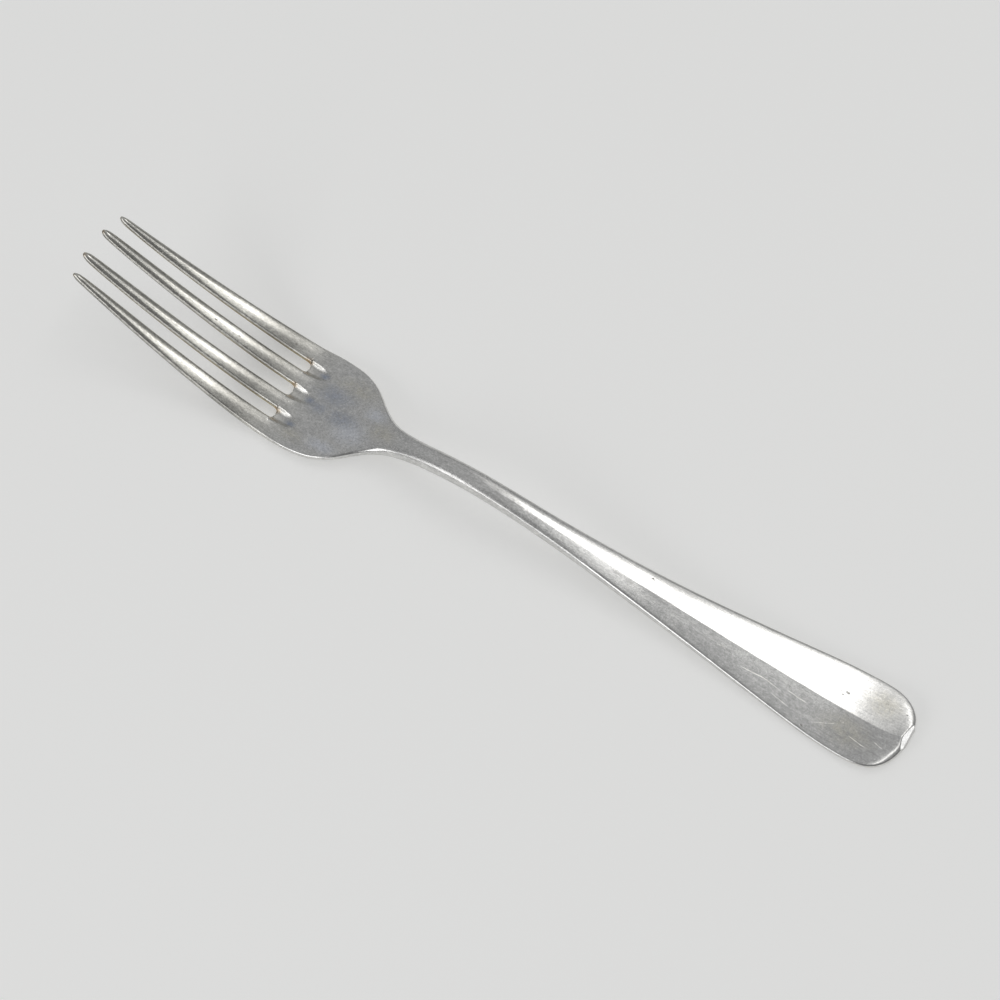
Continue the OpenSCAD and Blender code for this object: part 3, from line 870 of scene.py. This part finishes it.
def worn_silver(look):
    """Brushed and rubbed silver with grain, streaks, scratches, pits and tarnish, and with painted
    shade and painted dark reflections in its colour.
    """
    material = bpy.data.materials.new("worn_silver")
    material.use_nodes = True
    tree = material.node_tree
    tree.nodes.clear()
    graph = Graph(tree)
    place = graph.node("ShaderNodeTexCoord", {}, {}, "Object") * PER_MM
    skin = SimpleNamespace(
        **{name: graph.noise(place, **recipe) for name, recipe in NOISES.items()},
        **marks_and_painted_reflections(graph, place),
        **zones(graph, place.part("X")),
    )
    broken = graph.ramp(skin.mottle + skin.streak * STREAKED_TARNISH, *BROKEN_TARNISH)
    skin.tarnished = skin.hidden * broken

    height = silver_height(look, skin)
    bump = graph.node("ShaderNodeBump", {}, {"Height": height, "Strength": 1.0, "Distance": 1.0})
    surface = graph.node(
        "ShaderNodeBsdfPrincipled",
        {},
        {
            "Base Color": silver_colour(graph, look, skin),
            "Metallic": 1.0,
            "Roughness": silver_roughness(look, skin),
            "Normal": bump,
        },
    )
    output = tree.nodes.new("ShaderNodeOutputMaterial")
    tree.links.new(surface.socket, output.inputs["Surface"])
    return material


def floor_material(studio):
    """A pale matt floor. What shows of it, straight or mirrored, also glows a little."""
    material = bpy.data.materials.new("pale_floor")
    material.use_nodes = True
    tree = material.node_tree
    tree.nodes.clear()
    graph = Graph(tree)
    matt = graph.node("ShaderNodeBsdfDiffuse", {}, {"Color": opaque(studio.floor_colour)})
    shown = graph.node("ShaderNodeLightPath", {}, {}, "Is Camera Ray")
    for kind in ("Is Glossy Ray", "Is Transmission Ray"):
        shown = shown + graph.node("ShaderNodeLightPath", {}, {}, kind)
    glow = graph.node(
        "ShaderNodeEmission",
        {},
        {"Color": opaque(studio.floor_colour), "Strength": shown * studio.floor_glow},
    )
    surface = graph.node("ShaderNodeAddShader", {}, {0: matt, 1: glow})
    output = tree.nodes.new("ShaderNodeOutputMaterial")
    tree.links.new(surface.socket, output.inputs["Surface"])
    return material


def direction(turn, height):
    """The unit vector at an angle around Z and an angle above the floor."""
    return Vector(
        (
            math.cos(height) * math.cos(turn),
            math.cos(height) * math.sin(turn),
            math.sin(height),
        )
    )


def aimed(place, aim, roll=0.0):
    """The matrix of a lamp or camera at place that looks at aim."""
    look = (aim - place).to_track_quat("-Z", "Y").to_matrix().to_4x4()
    return Matrix.Translation(place) @ look @ Matrix.Rotation(roll, 4, "Z")


# Each soft box: its name, the turn and height in degrees where it starts and where it ends as
# seen from the fork, its width in degrees, its distance in metres, how bright it looks, its colour
SOFT_BOXES = (
    ("key_box", (-97.3, 45.5), (-129.8, 71.8), 10.0, 1.2, 1.9, (1.0, 0.99, 0.98)),
    ("glow_box", (-90.0, 33.5), (-100.0, 69.8), 22.0, 1.25, 0.33, (1.0, 0.99, 0.97)),
    ("top_box", (-134.0, 70.8), (128.1, 66.4), 6.0, 1.2, 1.8, (1.0, 1.0, 0.99)),
    ("rim_box", (50.0, 32.0), (96.0, 14.0), 20.0, 1.2, 1.9, (0.99, 0.99, 1.0)),
    ("end_box", (-165.0, 14.0), (-153.0, 22.0), 11.0, 1.2, 1.6, (0.99, 0.99, 1.0)),
)
# Where the room is brightest, and how nearly a direction faces that where the room is at its
# dimmest and at its brightest
BRIGHT_SIDE = (0.25, -0.35, 0.9)
ROOM_RANGE = (0.1, 0.95)
FLOOR_CORNERS = 96
SENSOR_MM = 36.0
NEAREST_SEEN = 0.01


def soft_box(name, start, end, width, distance, brightness, tint):
    """A long area lamp between two directions, whose face has the given brightness."""
    centre = (FORK_LOW + FORK_HIGH) / 2
    first, last = (
        direction(math.radians(turn), math.radians(height)) * distance for turn, height in (start, end)
    )
    lamp = bpy.data.lights.new(name, "AREA")
    lamp.shape = "RECTANGLE"
    lamp.size = 2 * distance * math.tan(math.radians(width) / 2)
    lamp.size_y = (last - first).length
    lamp.color = tint
    lamp.energy = brightness * math.pi * lamp.size * lamp.size_y
    box = bpy.data.objects.new(name, lamp)
    long_way = (last - first).normalized()
    away = (first + last).normalized()
    turned = Matrix((long_way.cross(away), long_way, away)).transposed().to_4x4()
    box.matrix_world = Matrix.Translation(centre + (first + last) / 2) @ turned
    bpy.context.scene.collection.objects.link(box)


def pale_floor(studio):
    """A large disc at the height that the fork rests on."""
    mesh = bpy.data.meshes.new("floor")
    corners = range(FLOOR_CORNERS)
    turns = [math.tau * corner / FLOOR_CORNERS for corner in corners]
    rim = [direction(turn, 0) * studio.floor_size / 2 for turn in turns]
    mesh.from_pydata(rim, [], [tuple(corners)])
    mesh.materials.append(floor_material(studio))
    floor = bpy.data.objects.new("floor", mesh)
    bpy.context.scene.collection.objects.link(floor)


def room(studio):
    """Light of the room, dim at the horizon and stronger above, on the side of the key light."""
    world = bpy.data.worlds.new("room")
    world.use_nodes = True
    tree = world.node_tree
    tree.nodes.clear()
    graph = Graph(tree)
    heading = graph.node("ShaderNodeTexCoord", {}, {}, "Generated")
    facing = graph.node(
        "ShaderNodeVectorMath", {"operation": "DOT_PRODUCT"}, {0: heading, 1: BRIGHT_SIDE}, "Value"
    )
    strength = graph.ramp(facing, *ROOM_RANGE, studio.room_around, studio.room_above)
    light = graph.node(
        "ShaderNodeBackground", {}, {"Color": opaque(studio.room_colour), "Strength": strength}
    )
    output = tree.nodes.new("ShaderNodeOutputWorld")
    tree.links.new(light.socket, output.inputs["Surface"])
    bpy.context.scene.world = world


def camera(studio):
    """The camera at the photograph's angle."""
    lens = bpy.data.cameras.new("camera")
    lens.sensor_width = SENSOR_MM
    lens.lens = studio.camera_lens
    lens.clip_start = NEAREST_SEEN
    view = bpy.data.objects.new("camera", lens)
    aim = Vector((studio.camera_aim_x, studio.camera_aim_y, 0.0))
    toward = direction(studio.camera_turn, studio.camera_height)
    view.matrix_world = aimed(aim + toward * studio.camera_distance, aim, studio.camera_roll)
    bpy.context.scene.collection.objects.link(view)
    bpy.context.scene.camera = view


class FORK_OT_finish(bpy.types.Operator):
    """Smooth, finish and tarnish the fork"""

    bl_idname = "fork.finish"
    bl_label = "Finish the fork"

    def execute(self, context):
        shape = context.scene.fork_shape
        silver = worn_silver(context.scene.silver_look)
        fork = finished_by_hand(forged_blank(shape), shape, silver)
        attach(fork, BODY)
        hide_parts(NODE)
        return {"FINISHED"}


class FORK_OT_stage(bpy.types.Operator):
    """Set the floor, the lights and the camera"""

    bl_idname = "fork.stage"
    bl_label = "Set the stage"

    def execute(self, context):
        studio = context.scene.studio_setup
        context.scene.view_settings.view_transform = "Standard"
        pale_floor(studio)
        room(studio)
        for box in SOFT_BOXES:
            soft_box(*box)
        camera(studio)
        return {"FINISHED"}


class FORK_PT_panel(bpy.types.Panel):
    """The fork's steps and sizes"""

    bl_idname = "FORK_PT_panel"
    bl_label = "Worn Silver Fork"
    bl_space_type = "VIEW_3D"
    bl_region_type = "UI"
    bl_category = "Fork"

    def draw(self, context):
        scene = context.scene
        groups = (scene.fork_shape, scene.silver_look, scene.studio_setup)
        self.layout.operator(FORK_OT_finish.bl_idname)
        self.layout.operator(FORK_OT_stage.bl_idname)
        for group in groups:
            box = self.layout.box()
            for name in group.__annotations__:
                box.prop(group, name)


GROUPS = {"fork_shape": ForkShape, "silver_look": SilverLook, "studio_setup": StudioSetup}
CLASSES = (*GROUPS.values(), FORK_OT_finish, FORK_OT_stage, FORK_PT_panel)


def register():
    for item in CLASSES:
        bpy.utils.register_class(item)
    for name, group in GROUPS.items():
        setattr(bpy.types.Scene, name, bpy.props.PointerProperty(type=group))


def unregister():
    for name in GROUPS:
        delattr(bpy.types.Scene, name)
    for item in reversed(CLASSES):
        bpy.utils.unregister_class(item)


def main():
    register()
    bpy.ops.fork.finish()
    bpy.ops.fork.stage()


if __name__ == "__main__":
    main()
